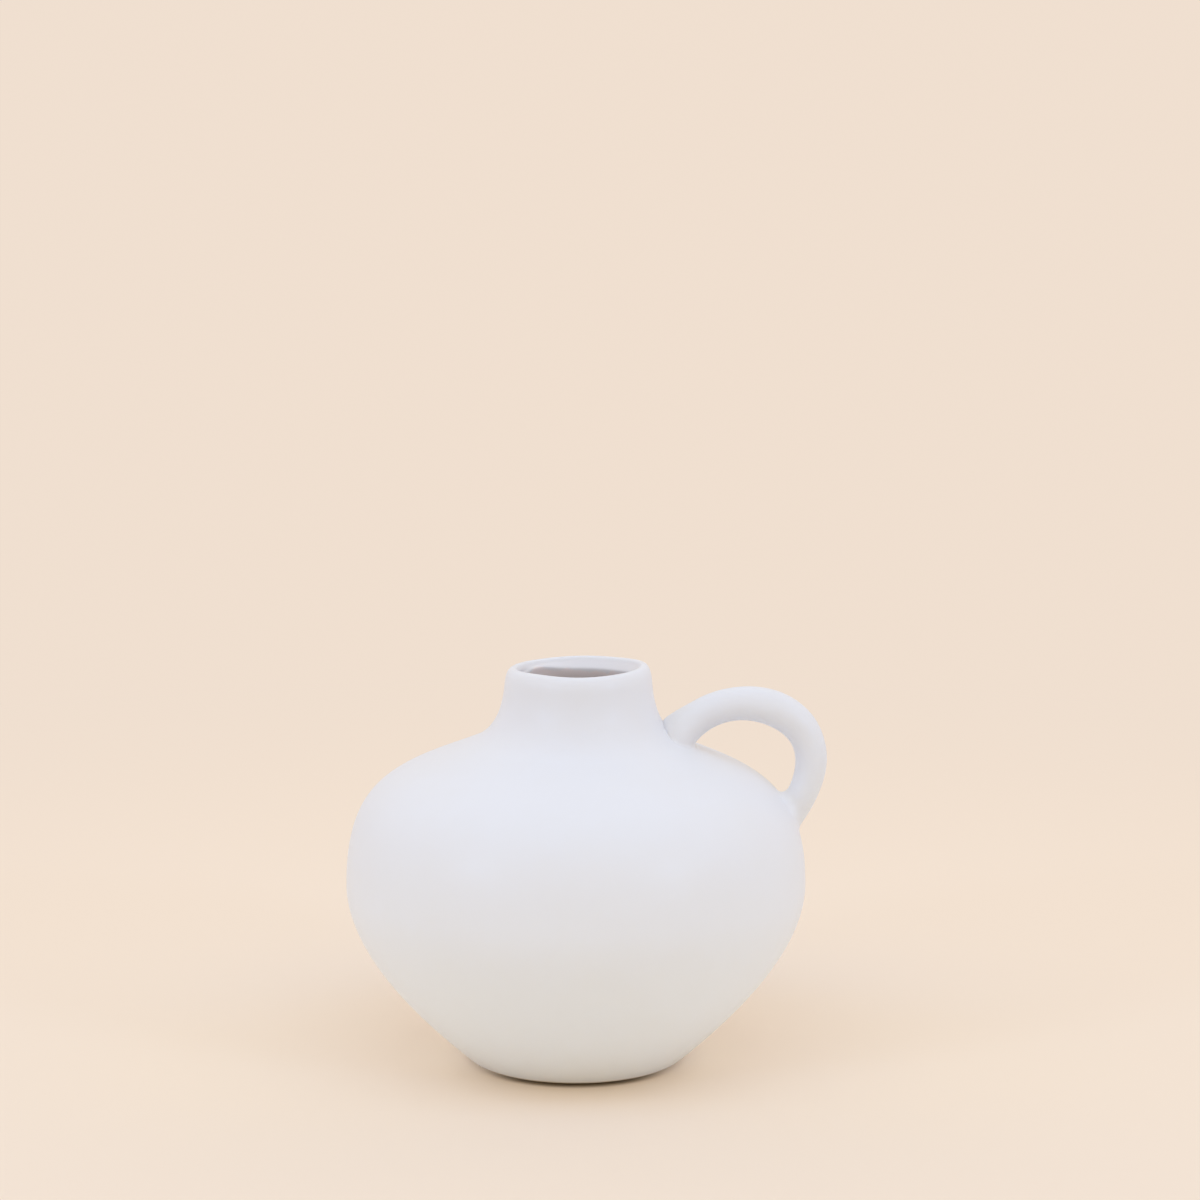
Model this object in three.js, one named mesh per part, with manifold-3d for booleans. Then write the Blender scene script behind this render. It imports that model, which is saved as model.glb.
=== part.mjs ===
// A handled vase: a round hollow belly on a low foot, a short tapered neck and a loop handle.
// Millimetres, +Z up. The origin is the centre of the foot on the table, the handle is at +X.

import * as THREE from 'three';
import { mergeVertices } from 'three/addons/utils/BufferGeometryUtils.js';
import loadManifold from 'manifold-3d';

// Belly and shoulder
const BELLY_DIAMETER = 150;
const WIDEST_LEVEL = 58.8;
const LOWER_FULLNESS = 22.2;
const UPPER_FULLNESS = 35.5;
const SHOULDER_RISE = 50.8;
const SHOULDER_SLOPE = THREE.MathUtils.degToRad(25);
const SHOULDER_PULL = 24.4;

// Heel, where the belly turns in to the foot
const HEEL_DIAMETER = 68.7;
const HEEL_ROUNDING = 3;
const HEEL_PULL = 16.7;
const LOWER_WALL_ANGLE = THREE.MathUtils.degToRad(41.5);

// Neck and lip
const NECK_DIAMETER = 50;
const NECK_LENGTH = 20.7;
const NECK_TAPER = THREE.MathUtils.degToRad(4.3);
const NECK_FLARE = 10.2;
const NECK_FILLET = 13.7;
const SEAM_RISE = 2.4;

// Wall, floor and foot
const WALL_THICKNESS = 4.6;
const FLOOR_THICKNESS = 5;
const FOOT_HEIGHT = 1;
const FOOT_INSET = 2;
const FLOOR_LEDGE = 6.4;

// Handle
const HANDLE_DIAMETER = 10.6;
const HANDLE_LEAN = THREE.MathUtils.degToRad(57.4);
const UPPER_ROOT_STANDOFF = 7;
const UPPER_LIMB_PULL = 26.4;
const LOWER_ROOT_INSET = 4.8;
const LOWER_LIMB_PULL = 40.3;
const SLIP_BEAD_RADIUS = 2.2;

// Gap that the slip fills between two pieces of clay
const JOINT_GAP = 0.3;

// Fineness of the facets
const ROUND_SEGMENTS = 48;
const HEEL_STEPS = 3;
const WALL_STEPS = 10;
const FILLET_STEPS = 8;
const LIP_STEPS = 8;
const HANDLE_SIDES = 20;
const HANDLE_STEPS = 36;
const BEAD_STEPS = 32;
const BEAD_SIDES = 8;

const BELLY_RADIUS = BELLY_DIAMETER / 2;
const HEEL_RADIUS = HEEL_DIAMETER / 2;
const FLOOR_OPENING_RADIUS = HEEL_RADIUS - FLOOR_LEDGE;
const NECK_RADIUS = NECK_DIAMETER / 2;
const HANDLE_RADIUS = HANDLE_DIAMETER / 2;
const LIP_RADIUS = WALL_THICKNESS / 2;
const FLOOR_LEVEL = FOOT_HEIGHT + FLOOR_THICKNESS;
const NECK_LEVEL = WIDEST_LEVEL + SHOULDER_RISE;
const SEAM_LEVEL = NECK_LEVEL + SEAM_RISE;
const LIP_LEVEL = NECK_LEVEL + NECK_LENGTH - LIP_RADIUS;

// Places along the middle line of the handle, from 0 at the upper end to 1 at the lower end
const UPPER_END = 0;
const LOOP_MIDDLE = 0.5;
const LOWER_END = 1;
const HALVINGS = 30;

const white = new THREE.Color(0xe6e6ec);
const bareClay = new THREE.Color(0xd8cab6);
const GLAZE_ROUGHNESS = 0.5;
const CLAY_ROUGHNESS = 0.85;

const wasm = await loadManifold();
wasm.setup();

// A profile point: x is the distance from the axis, y is the height
function point(radius, height) {
  return new THREE.Vector2(radius, height);
}

// A step of a given length in a given direction across the profile
function heading(angle, length) {
  return point(Math.cos(angle), Math.sin(angle)).multiplyScalar(length);
}

// Even steps round a full turn
function anglesAround(count) {
  return Array.from({ length: count }, (_, i) => (2 * Math.PI * i) / count);
}

// The distance from the axis at a height, on a profile that only rises, or 0 above its top
function radiusAt(profile, height) {
  const next = profile.findIndex((p, i) => i > 0 && p.y >= height);
  if (next < 0) return 0;
  const [low, high] = [profile[next - 1], profile[next]];
  return THREE.MathUtils.mapLinear(height, low.y, high.y, low.x, high.x);
}

// The height at a distance from the axis, on the shoulder, which narrows as it rises
function heightAt(profile, radius) {
  const widest = profile.findIndex((p) => p.y >= WIDEST_LEVEL);
  const next = profile.findIndex((p, i) => i > widest && p.x <= radius);
  const [low, high] = [profile[next - 1], profile[next]];
  return THREE.MathUtils.mapLinear(radius, low.x, high.x, low.y, high.y);
}

// A profile moved outwards by a distance, or inwards by a negative one
function offsetProfile(profile, distance) {
  return profile.map((p, i) => {
    const before = profile[Math.max(0, i - 1)];
    const after = profile[Math.min(profile.length - 1, i + 1)];
    const along = after.clone().sub(before).normalize();
    return point(p.x + along.y * distance, p.y - along.x * distance);
  });
}

// The curves of the outside, from the heel up to the lip
function outsideCurves() {
  const upright = Math.PI / 2;
  const heelLevel = FOOT_HEIGHT + HEEL_ROUNDING;
  const heel = new THREE.EllipseCurve(
    HEEL_RADIUS, heelLevel, HEEL_ROUNDING, HEEL_ROUNDING, -upright, LOWER_WALL_ANGLE - upright,
  );
  const heelEnd = heel.getPoint(1);
  const widest = point(BELLY_RADIUS, WIDEST_LEVEL);
  const lowerWall = new THREE.CubicBezierCurve(
    heelEnd,
    heelEnd.clone().add(heading(LOWER_WALL_ANGLE, HEEL_PULL)),
    widest.clone().add(heading(-upright, LOWER_FULLNESS)),
    widest,
  );

  // The shoulder line and the neck line meet at the corner, which the fillet rounds
  const corner = point(NECK_RADIUS, NECK_LEVEL);
  const shoulderEnd = corner.clone().add(heading(-SHOULDER_SLOPE, NECK_FLARE));
  const shoulder = new THREE.CubicBezierCurve(
    widest,
    widest.clone().add(heading(upright, UPPER_FULLNESS)),
    shoulderEnd.clone().add(heading(-SHOULDER_SLOPE, SHOULDER_PULL)),
    shoulderEnd,
  );
  const neckRise = LIP_LEVEL - NECK_LEVEL + LIP_RADIUS * Math.sin(NECK_TAPER);
  const neckReach = neckRise / Math.cos(NECK_TAPER);
  const neckEnd = corner.clone().add(heading(upright + NECK_TAPER, neckReach));
  const filletReach = Math.min(NECK_FILLET, neckReach - LIP_RADIUS);
  const filletEnd = corner.clone().add(heading(upright + NECK_TAPER, filletReach));
  const fillet = new THREE.QuadraticBezierCurve(shoulderEnd, corner, filletEnd);
  return { heel, lowerWall, shoulder, fillet, neckEnd };
}

const outside = outsideCurves();
const lowerWallPoints = outside.lowerWall.getPoints(WALL_STEPS);
const shoulderPoints = outside.shoulder.getPoints(WALL_STEPS).slice(1);
const filletPoints = outside.fillet.getPoints(FILLET_STEPS).slice(1);
const wallProfile = [...lowerWallPoints, ...shoulderPoints, ...filletPoints, outside.neckEnd];
const heelProfile = outside.heel.getPoints(HEEL_STEPS).slice(0, -1);
const outsideProfile = [...heelProfile, ...wallProfile];
const insideProfile = offsetProfile(wallProfile, -WALL_THICKNESS);

// The half-round lip, from the outside of the neck over to the inside
function lipPoints() {
  const centre = outside.neckEnd.clone().add(heading(NECK_TAPER, -LIP_RADIUS));
  const lip = new THREE.EllipseCurve(
    centre.x, centre.y, LIP_RADIUS, LIP_RADIUS, NECK_TAPER, NECK_TAPER + Math.PI,
  );
  return lip.getPoints(LIP_STEPS);
}

// Turns a profile about the axis of the vase
function turn(profile) {
  return new THREE.LatheGeometry(profile, ROUND_SEGMENTS).rotateX(Math.PI / 2);
}

// Turns a profile that closes on itself
function turnRing(profile) {
  return turn([...profile, profile[0]]);
}

// A solid that can be cut, from a closed geometry
function toSolid(geometry) {
  const bare = geometry.clone();
  bare.deleteAttribute('normal');
  bare.deleteAttribute('uv');
  const merged = mergeVertices(bare);
  const corners = merged.index.array;
  const triVerts = [];
  for (let i = 0; i < corners.length; i += 3) {
    const [a, b, c] = corners.slice(i, i + 3);
    if (a !== b && b !== c && c !== a) triVerts.push(a, b, c);
  }
  return new wasm.Manifold(new wasm.Mesh({
    numProp: 3,
    vertProperties: new Float32Array(merged.attributes.position.array),
    triVerts: new Uint32Array(triVerts),
  }));
}

// The geometry of a cut solid
function toGeometry(solid) {
  const mesh = solid.getMesh();
  const geometry = new THREE.BufferGeometry();
  geometry.setAttribute('position', new THREE.BufferAttribute(mesh.vertProperties, 3));
  geometry.setIndex(new THREE.BufferAttribute(mesh.triVerts, 1));
  geometry.computeVertexNormals();
  return geometry;
}

function part(name, geometry, color, roughness) {
  const material = new THREE.MeshStandardMaterial({ color, roughness, metalness: 0 });
  const mesh = new THREE.Mesh(geometry, material);
  mesh.name = name;
  return mesh;
}

// The low foot and the plug above it, which closes the floor of the body
function baseSlab() {
  const footRadius = HEEL_RADIUS - FOOT_INSET;
  const plugRadius = FLOOR_OPENING_RADIUS - JOINT_GAP;
  return turn([
    point(0, 0),
    point(footRadius, 0),
    point(footRadius, FOOT_HEIGHT),
    point(plugRadius, FOOT_HEIGHT),
    point(plugRadius, FLOOR_LEVEL),
    point(0, FLOOR_LEVEL),
  ]);
}

// The belly and the shoulder, up to the flat seat of the neck
function body() {
  const inner = insideProfile.filter((p) => p.y > FLOOR_LEVEL && p.y < SEAM_LEVEL).reverse();
  return turnRing([
    point(FLOOR_OPENING_RADIUS, FOOT_HEIGHT),
    ...outsideProfile.filter((p) => p.y < SEAM_LEVEL),
    point(radiusAt(outsideProfile, SEAM_LEVEL), SEAM_LEVEL),
    point(radiusAt(insideProfile, SEAM_LEVEL), SEAM_LEVEL),
    ...inner,
    point(radiusAt(insideProfile, FLOOR_LEVEL), FLOOR_LEVEL),
    point(FLOOR_OPENING_RADIUS, FLOOR_LEVEL),
  ]);
}

// The neck, thrown as a ring and seated flat on the shoulder
function neckCollar() {
  const isCollar = (p) => p.y > SEAM_LEVEL;
  const outer = outsideProfile.filter(isCollar).slice(0, -1);
  const inner = insideProfile.filter(isCollar).slice(0, -1).reverse();
  return turnRing([
    point(radiusAt(outsideProfile, SEAM_LEVEL), SEAM_LEVEL),
    ...outer,
    ...lipPoints(),
    ...inner,
    point(radiusAt(insideProfile, SEAM_LEVEL), SEAM_LEVEL),
  ]);
}

// The middle line of the handle: a loop that leaves the shoulder at both roots in one direction,
// with a straight stub at each end that goes below the surface
function handleLine() {
  const upperRadius = NECK_RADIUS + UPPER_ROOT_STANDOFF;
  const lowerRadius = BELLY_RADIUS - LOWER_ROOT_INSET;
  const upperRoot = point(upperRadius, heightAt(outsideProfile, upperRadius));
  const lowerRoot = point(lowerRadius, heightAt(outsideProfile, lowerRadius));
  const alongLean = (root, length) => {
    const reached = root.clone().add(heading(HANDLE_LEAN, length));
    return new THREE.Vector3(reached.x, 0, reached.y);
  };
  const [upperEnd, lowerEnd] = [alongLean(upperRoot, 0), alongLean(lowerRoot, 0)];
  const line = new THREE.CurvePath();
  line.add(new THREE.LineCurve3(alongLean(upperRoot, -HANDLE_RADIUS), upperEnd));
  line.add(new THREE.CubicBezierCurve3(
    upperEnd,
    alongLean(upperRoot, UPPER_LIMB_PULL),
    alongLean(lowerRoot, LOWER_LIMB_PULL),
    lowerEnd,
  ));
  line.add(new THREE.LineCurve3(lowerEnd, alongLean(lowerRoot, -HANDLE_RADIUS)));
  return line;
}

const middleLine = handleLine();

// A round rod along the middle line of the handle
function handleRod(radius) {
  const section = new THREE.Shape(anglesAround(HANDLE_SIDES).map((angle) => heading(angle, radius)));
  return toSolid(new THREE.ExtrudeGeometry(section, {
    steps: HANDLE_STEPS, bevelEnabled: false, extrudePath: middleLine,
  }));
}

// The outside of the vase as a filled solid, larger by the gap of the joints
function vaseFilled() {
  const grown = offsetProfile([...outsideProfile.slice(0, -1), ...lipPoints()], JOINT_GAP);
  const top = grown[grown.length - 1];
  return toSolid(turn([point(0, grown[0].y), ...grown, point(0, top.y)]));
}

const filledVase = vaseFilled();

// The point where one side of the handle comes out of the vase, near one end of its middle line
function rootPoint(angle, endAt) {
  const surface = (at) => {
    const along = middleLine.getTangent(at);
    const sideways = new THREE.Vector3(0, 1, 0);
    const across = along.clone().cross(sideways);
    return middleLine.getPoint(at)
      .addScaledVector(across, HANDLE_RADIUS * Math.cos(angle))
      .addScaledVector(sideways, HANDLE_RADIUS * Math.sin(angle));
  };
  let [sunk, free] = [endAt, LOOP_MIDDLE];
  for (let i = 0; i < HALVINGS; i += 1) {
    const between = (sunk + free) / 2;
    const p = surface(between);
    if (Math.hypot(p.x, p.y) < radiusAt(outsideProfile, p.z)) sunk = between;
    else free = between;
  }
  return surface(sunk);
}

// The bead of slip in the corner round one root of the handle
function slipBead(endAt) {
  const loop = anglesAround(BEAD_STEPS).map((angle) => rootPoint(angle, endAt));
  const path = new THREE.CatmullRomCurve3(loop, true);
  const rope = toSolid(new THREE.TubeGeometry(path, BEAD_STEPS, SLIP_BEAD_RADIUS, BEAD_SIDES, true));
  return toGeometry(rope.subtract(filledVase).subtract(handleRod(HANDLE_RADIUS + JOINT_GAP)));
}

function handle() {
  return toGeometry(handleRod(HANDLE_RADIUS).subtract(filledVase));
}

const vase = new THREE.Group();
vase.name = 'handled_vase';
vase.add(
  part('base_slab', baseSlab(), bareClay, CLAY_ROUGHNESS),
  part('body', body(), white, GLAZE_ROUGHNESS),
  part('neck_collar', neckCollar(), white, GLAZE_ROUGHNESS),
  part('handle', handle(), white, GLAZE_ROUGHNESS),
  part('upper_handle_joint', slipBead(UPPER_END), white, GLAZE_ROUGHNESS),
  part('lower_handle_joint', slipBead(LOWER_END), white, GLAZE_ROUGHNESS),
);

export default vase;
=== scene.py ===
import bisect
import math

import bmesh
import bpy
from bpy.props import FloatProperty, FloatVectorProperty, PointerProperty
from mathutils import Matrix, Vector
from mathutils.geometry import interpolate_bezier


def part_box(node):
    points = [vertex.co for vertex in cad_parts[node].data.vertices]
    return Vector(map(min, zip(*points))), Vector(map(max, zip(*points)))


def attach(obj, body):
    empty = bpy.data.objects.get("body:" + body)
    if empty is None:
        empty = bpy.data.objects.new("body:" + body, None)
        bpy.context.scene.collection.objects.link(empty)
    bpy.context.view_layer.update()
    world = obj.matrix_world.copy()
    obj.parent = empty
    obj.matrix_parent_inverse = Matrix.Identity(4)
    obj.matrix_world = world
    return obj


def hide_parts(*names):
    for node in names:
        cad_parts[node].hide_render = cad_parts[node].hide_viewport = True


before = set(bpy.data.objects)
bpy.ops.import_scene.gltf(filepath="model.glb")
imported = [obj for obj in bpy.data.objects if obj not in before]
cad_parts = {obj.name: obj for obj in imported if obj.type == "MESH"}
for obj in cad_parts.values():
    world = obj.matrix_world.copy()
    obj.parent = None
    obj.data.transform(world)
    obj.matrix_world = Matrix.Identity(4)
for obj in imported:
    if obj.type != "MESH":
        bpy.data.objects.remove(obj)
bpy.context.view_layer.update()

bl_info = {
    "name": "Handled Vase",
    "version": (1, 0, 0),
    "blender": (4, 5, 0),
    "location": "3D View > Sidebar > Vase",
    "description": "A round white glazed vase with a short neck and a loop handle, on a pale floor",
    "category": "Add Mesh",
}

MM = 0.001
GLAZE = "satin_glaze"
INNER_DEPTH = "inner_depth"

# How much narrower the foot is than its solid, in millimetres, so that the heel shades it
FOOT_TRIM = 2.2


# Settings

LENGTH_DIGITS = 5
LIGHT_MOST = 4


def length(name, description, millimetres):
    """A length setting, given in millimetres and kept in metres."""
    return FloatProperty(
        name=name, description=description, default=millimetres * MM, unit="LENGTH",
        precision=LENGTH_DIGITS
    )


def angle(name, description, degrees):
    """An angle setting, given in degrees."""
    return FloatProperty(
        name=name, description=description, default=math.radians(degrees), unit="ROTATION"
    )


def share(name, description, default):
    """A setting between nothing and all."""
    return FloatProperty(
        name=name, description=description, default=default, min=0, max=1, subtype="FACTOR"
    )


def color(name, description, default):
    """A linear colour setting."""
    return FloatVectorProperty(
        name=name, description=description, default=default, size=3, min=0, max=1, subtype="COLOR"
    )


def light(name, description, default):
    """The colour and level of a light, where 1 is white."""
    return FloatVectorProperty(
        name=name, description=description, default=default, size=3, min=0, max=LIGHT_MOST,
        subtype="COLOR"
    )


def node_width(node):
    """The width across one CAD node, in millimetres."""
    low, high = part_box(node)
    return (high[1] - low[1]) / MM


def node_level(node, end):
    """The lowest (0) or highest (1) level of one CAD node, in millimetres."""
    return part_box(node)[end][2] / MM


class VaseSizes(bpy.types.PropertyGroup):
    """The profile of the vase, from its foot to its lip."""

    belly_diameter: length("Belly", "Width across the belly", node_width("body"))
    widest_level: length("Widest level", "Height of the widest place", 58.8)
    lower_fullness: length("Lower fullness", "How long the belly stays wide below its widest place", 22.2)
    upper_fullness: length("Upper fullness", "How long the belly stays wide above its widest place", 35.5)
    shoulder_rise: length("Shoulder rise", "From the widest place up to the corner under the neck", 50.8)
    shoulder_slope: angle("Shoulder slope", "Slope of the shoulder where the neck begins", 25)
    shoulder_pull: length("Shoulder pull", "How far the shoulder keeps that slope", 24.4)
    heel_diameter: length("Heel", "Width across the start of the heel", 69.85)
    heel_rounding: length("Heel rounding", "Radius of the edge under the belly", 1.5)
    heel_pull: length("Heel pull", "How far the lower wall keeps its first slope", 16.7)
    lower_wall_angle: angle("Lower wall", "Slope of the wall above the heel", 41.5)
    neck_diameter: length("Neck", "Width of the neck at the corner on the shoulder", 51.2)
    neck_length: length("Neck length", "From the corner on the shoulder up to the lip", 20.7)
    neck_taper: angle("Neck taper", "How much the neck narrows as it rises", 5.8)
    neck_flare: length("Neck flare", "Length of the rounding on the shoulder", 10.2)
    neck_fillet: length("Neck fillet", "Length of the rounding on the neck", 13.7)
    lip_drop: length("Lip drop", "Height of the rounding outside the lip", 5)
    lip_width: length("Lip width", "From the outside of the neck in to the top of the lip", 2.9)
    throat_depth: length("Throat depth", "From the lip down to the narrowest place inside", 4.3)
    throat_wall: length("Throat wall", "Thickness of the wall at the narrowest place inside", 7)
    wall_thickness: length("Wall", "Thickness of the wall", 4.6)
    floor_thickness: length("Floor", "Thickness of the floor inside", 5)
    foot_diameter: length("Foot", "Width across the bare foot", node_width("base_slab") - FOOT_TRIM)
    foot_height: length("Foot height", "Gap under the heel", node_level("body", 0))


class HandleSizes(bpy.types.PropertyGroup):
    """The loop of the handle and the slip round its two roots."""

    lean: angle("Lean", "Direction in which both ends leave the shoulder", 57.4)
    upper_standoff: length("Upper standoff", "From the neck's corner out to the upper root", 7)
    upper_pull: length("Upper pull", "How far the upper limb keeps its lean", 26.4)
    lower_inset: length("Lower inset", "From the widest place in to the lower root", 4.4)
    lower_pull: length("Lower pull", "How far the lower limb keeps its lean", 40.3)
    upper_root: length("Upper root", "Thickness of the coil at its upper root", 10.98)
    upper_limb: length("Upper limb", "Thickness of the coil a quarter along the loop", 10.44)
    crown: length("Crown", "Thickness of the coil half-way along the loop", 11.34)
    lower_limb: length("Lower limb", "Thickness of the coil three quarters along the loop", 10.34)
    lower_root: length("Lower root", "Thickness of the coil at its lower root", 9.6)
    neck_flare: length("Neck flare", "How far the upper root is pressed out towards the neck", 2.7)
    side_flare: length("Side flare", "How far the upper root is pressed out to both sides", 2.2)
    upper_notch: length("Upper notch", "Reach of the slip on the neck side of the upper root", 2.4)
    upper_sides: length("Upper sides", "Reach of the slip on both sides of the upper root", 1.2)
    upper_crotch: length("Upper crotch", "Reach of the slip inside the loop at the upper root", 2.6)
    lower_notch: length("Lower notch", "Reach of the slip outside the loop at the lower root", 1.8)
    lower_sides: length("Lower sides", "Reach of the slip on both sides of the lower root", 5)
    lower_crotch: length("Lower crotch", "Reach of the slip inside the loop at the lower root", 5.6)


class ThrownMarks(bpy.types.PropertyGroup):
    """Small departures from a perfect turning, as a hand leaves them."""

    neck_drift: length("Neck drift", "How far the neck leans towards the handle", 0.95)
    shoulder_drop: length("Shoulder drop", "How far the handle weighs its shoulder down", 0.5)
    wall_wave: length("Wall wave", "Unevenness of the wall", 0.1)
    rim_wave: length("Rim wave", "Unevenness of the lip", 0.2)
    rim_tilt: length("Rim tilt", "How far the lip rises towards the handle", 0.45)
    rim_nod: length("Rim nod", "How far the lip sinks towards the back", 0.2)
    rim_sag: length("Rim sag", "How far the whole lip is pressed down", 0.15)
    throat_lift: length("Throat lift", "How far the lip's inner slope is cut short on one side", 1.5)
    throat_widening: length("Throat widening", "How far the throat is wider away from the handle", 1.3)


class GlazeLook(bpy.types.PropertyGroup):
    """The finish of the glaze and of the bare clay."""

    glaze: color("Glaze", "Matte white glaze where it is thick", (0.798, 0.798, 0.828))
    thin_glaze: color("Thin glaze", "Glaze where it is thin, over the clay", (0.785, 0.775, 0.78))
    inner_lip: color("Inner lip", "Glaze on the slope inside the lip", (0.765, 0.748, 0.762))
    # Colour deeper inside the mouth, below the slope of the lip: warmer and a little darker than the glaze
    deep_inside_tone: color("Lining", "Bare clay inside the vase, below the glazed lip", (0.84, 0.76, 0.75))
    clay: color("Clay", "Bare clay of the foot", (0.66, 0.58, 0.48))
    speck: color("Speck", "Iron specks in the glaze", (0.30, 0.26, 0.25))
    glaze_roughness: share("Glaze roughness", "Roughness of the glaze", 0.55)
    sheen: share("Sheen", "How strongly the satin skin of the glaze shines", 0.22)
    sheen_roughness: share("Sheen roughness", "Roughness of that skin", 0.3)
    clay_roughness: share("Clay roughness", "Roughness of the bare clay", 0.86)


class StageLook(bpy.types.PropertyGroup):
    """The camera, the floor and the light."""

    backdrop: color("Backdrop", "Colour of the plain backdrop", (0.87, 0.74, 0.63))
    floor: color("Floor", "Colour of the floor", (0.89, 0.74, 0.595))
    # Painted shade: the floor in front of the vase is painted a little darker than beside and behind it
    painted_front_shade: color("Front floor", "Colour of the floor in front of the vase", (0.87, 0.722, 0.58))
    # Painted shade: the soft shade in front of the foot is painted into the floor's colour
    shade: color("Shade", "Colour of the floor in the soft shade in front of the foot", (0.82, 0.675, 0.53))
    # Painted shadow: the thin dark line in front of the foot is painted into the floor's colour
    painted_contact_shadow: color("Contact", "Colour of the thin dark line in front of the foot", (0.385, 0.3, 0.205))
    # Painted light: the floor beside and behind the foot is painted lighter
    lit: color("Lit floor", "Colour of the floor beside and behind the foot", (0.965, 0.82, 0.652))
    # Painted light: beside and behind the foot the floor partly glows with the backdrop's colour
    glow: share("Glow", "How much of the backdrop's light lies on the floor beside the foot", 0.28)
    bounce: light("Bounce", "How much light the floor near the vase throws back", (0.99, 0.925, 0.775))
    far_bounce: light("Far bounce", "How much light the floor further away throws back", (0.6, 0.56, 0.5))
    back_low: light("Back low", "Soft light from the backdrop, low down", (1.04, 0.94, 0.8))
    back_middle: light("Back middle", "Soft light from the backdrop, half-way up", (0.95, 0.86, 0.78))
    side_low: light("Side low", "Soft light from both sides, low down", (1.448, 1.379, 1.34))
    side_middle: light("Side middle", "Soft light from both sides, half-way up", (0.41, 0.54, 1.075))
    front_low: light("Front low", "Soft light from the front, low down", (0.433, 0.234, 0.107))
    front_middle: light("Front middle", "Soft light from the front, half-way up", (1.54, 1.42, 0.98))
    front_high: light("Front high", "Soft light from the front, high up", (1.25, 1.56, 2.08))
    high: light("High", "Soft light from the sides and the back, high up", (0.798, 0.789, 0.725))
    key: light("Key", "Level of the two small lamps at the front", (0.05, 0.08, 0.13))
    lens: FloatProperty(
        name="Lens", description="Focal length of the camera in millimetres", default=90.28, unit="CAMERA"
    )
    camera_pitch: angle("Camera pitch", "How far the camera looks down", 8.574)
    camera_place: FloatVectorProperty(
        name="Camera place", description="Where the camera stands", size=3, subtype="TRANSLATION",
        unit="LENGTH", default=(0.00792, -0.96247, 0.29692)
    )


# The profile of the vase, in the plane of X and Z

UPRIGHT = math.pi / 2
HEEL_STEPS = 8
WALL_STEPS = 44
FILLET_STEPS = 26
NECK_STEPS = 5
LIP_STEPS = 10
TURN_STEPS = 176
MERGE_DISTANCE = 1e-7
ROUNDING_PULL = 2 / 3

# The least straight length of the neck, the turn over the lip and the way down to the wall
NECK_LEAST = 2 * MM
CREST_IN = 1.3 * MM
CREST_FALL = 1 * MM
CREST_PULL = 0.8 * MM
SLOPE_SHARE = 0.75
THROAT_RUN = 9 * MM

# The curve between the inside of the wall and the floor
FLOOR_CURVE_HEIGHT = 7 * MM
FLOOR_CURVE_REACH = 9 * MM
FLOOR_CURVE_LEAN = 0.9


def spot(radius, height):
    """A place on the profile."""
    return Vector((radius, 0, height))


def heading(direction, reach):
    """A step across the profile."""
    return spot(math.cos(direction), math.sin(direction)) * reach


def bezier(start, start_pull, end_pull, end, steps):
    """The points of a cubic curve."""
    return interpolate_bezier(start, start_pull, end_pull, end, steps + 1)


def rounding(start, corner, end, steps):
    """The points of a curve that rounds a corner."""
    start_pull = start.lerp(corner, ROUNDING_PULL)
    end_pull = end.lerp(corner, ROUNDING_PULL)
    return bezier(start, start_pull, end_pull, end, steps)


def arc(centre, radius, first, last, steps):
    """The points of an arc."""
    turns = (first + (last - first) * step / steps for step in range(steps + 1))
    return [centre + heading(turn, radius) for turn in turns]


def outside_profile(sizes):
    """The outside of the vase, from the heel up to the start of the lip."""
    heel_centre = spot(sizes.heel_diameter / 2, sizes.foot_height + sizes.heel_rounding)
    wall_start = sizes.lower_wall_angle - UPRIGHT
    heel = arc(heel_centre, sizes.heel_rounding, -UPRIGHT, wall_start, HEEL_STEPS)
    widest = spot(sizes.belly_diameter / 2, sizes.widest_level)
    lower_wall = bezier(
        heel[-1],
        heel[-1] + heading(sizes.lower_wall_angle, sizes.heel_pull),
        widest - spot(0, sizes.lower_fullness),
        widest,
        WALL_STEPS,
    )
    corner = spot(sizes.neck_diameter / 2, sizes.widest_level + sizes.shoulder_rise)
    shoulder_end = corner + heading(-sizes.shoulder_slope, sizes.neck_flare)
    shoulder = bezier(
        widest,
        widest + spot(0, sizes.upper_fullness),
        shoulder_end + heading(-sizes.shoulder_slope, sizes.shoulder_pull),
        shoulder_end,
        WALL_STEPS,
    )
    neck_reach = (sizes.neck_length - sizes.lip_drop) / math.cos(sizes.neck_taper)
    neck_line = UPRIGHT + sizes.neck_taper
    fillet_end = corner + heading(neck_line, min(sizes.neck_fillet, neck_reach - NECK_LEAST))
    fillet = rounding(shoulder_end, corner, fillet_end, FILLET_STEPS)
    neck_end = corner + heading(neck_line, neck_reach)
    neck = [fillet_end.lerp(neck_end, step / NECK_STEPS) for step in range(1, NECK_STEPS + 1)]
    return heel + lower_wall[1:] + shoulder[1:] + fillet[1:] + neck


def across(profile, index):
    """The direction out of the wall at one point of a profile that rises."""
    before = profile[max(0, index - 1)]
    after = profile[min(len(profile) - 1, index + 1)]
    along = (after - before).normalized()
    return spot(along.z, -along.x)


def moved_in(profile, distance):
    """The profile moved in through the wall."""
    return [place - across(profile, index) * distance for index, place in enumerate(profile)]


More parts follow.
